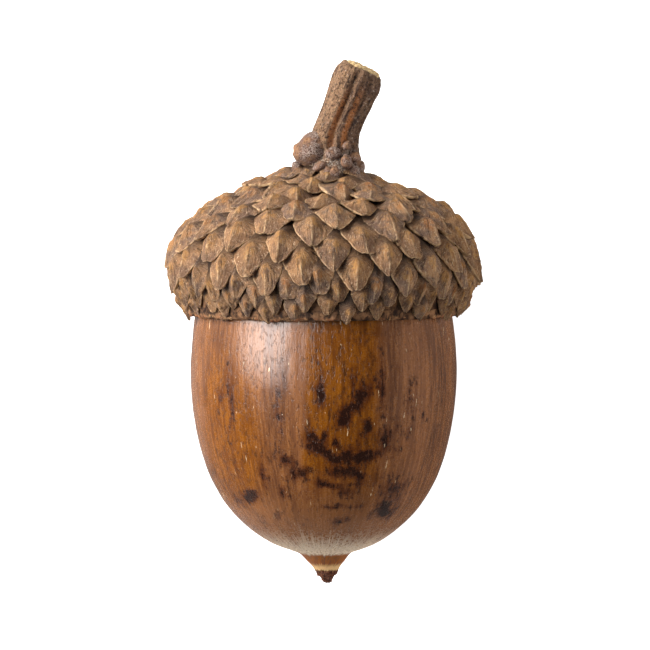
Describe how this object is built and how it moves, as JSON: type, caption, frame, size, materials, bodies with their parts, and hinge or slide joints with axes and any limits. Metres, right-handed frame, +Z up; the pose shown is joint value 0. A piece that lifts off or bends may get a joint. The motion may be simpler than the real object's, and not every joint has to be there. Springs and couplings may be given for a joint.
{
  "type": "acorn",
  "caption": "Ripe acorn lying on its side: a smooth pointed nut in a cup of overlapping scales, on a short bent woody stalk.",
  "frame": {"origin": "on the ground, below the middle of the acorn's bounding box", "axes": "+Z up; the stalk end is towards +Y and the point of the nut towards -Y, with the long axis rising about 9 degrees towards the stalk; the stalk bends towards +X"},
  "size_m": [0.0232, 0.039, 0.0227],
  "materials": {
    "nut_skin": "satin, smooth shell",
    "cup_bark": "matt, rough and scaly",
    "stalk_bark": "matt, ridged bark"
  },
  "bodies": {
    "root": {"nut": "nut_skin", "cup": "cup_bark", "stalk": "stalk_bark"}
  },
  "joints": []
}
